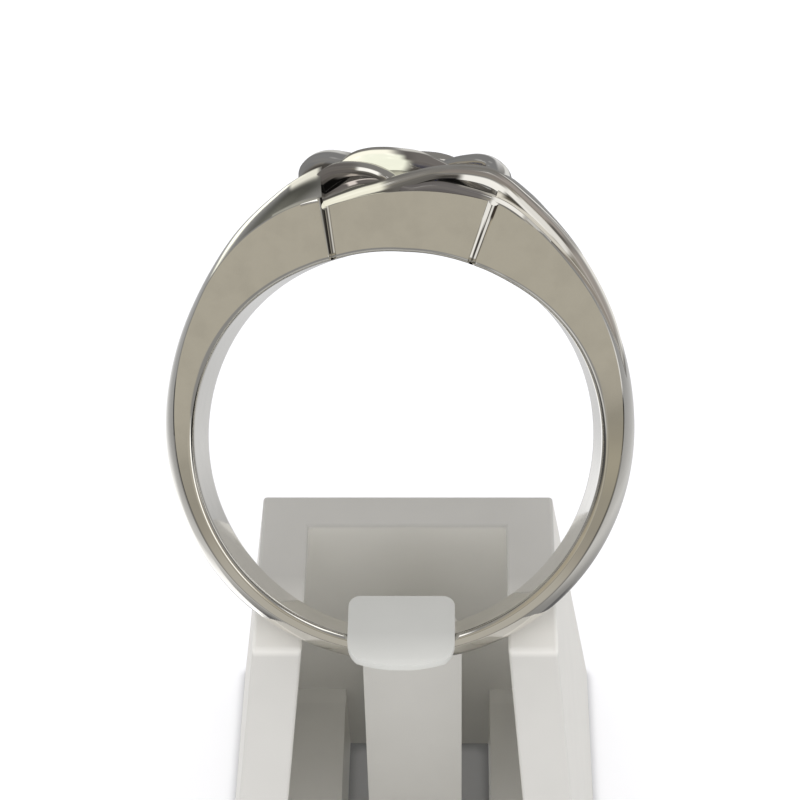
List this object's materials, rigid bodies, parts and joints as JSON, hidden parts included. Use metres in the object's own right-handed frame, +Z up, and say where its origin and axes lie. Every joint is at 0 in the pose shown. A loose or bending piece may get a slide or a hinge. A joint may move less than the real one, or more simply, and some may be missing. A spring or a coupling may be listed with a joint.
{
  "type": "sapphire ring on a clip stand",
  "caption": "Polished white metal finger ring with woven strands over a bridge of small round sapphires, held leaning back in a plain white clip stand.",
  "frame": {"origin": "centre of the stand's base, on the surface that it rests on", "axes": "+Z up; the ring and the stand's slanted front face -Y; +X is to the right of someone who looks at them from the front"},
  "size_m": [0.0199, 0.0336, 0.0381],
  "materials": {
    "white_gold": "polished",
    "sapphire": "cut and polished",
    "white_plastic": "satin"
  },
  "bodies": {
    "root": {"band": "white_gold", "sapphire_near": "sapphire", "sapphire_middle": "sapphire", "sapphire_far": "sapphire", "stand": "white_plastic"}
  },
  "joints": []
}
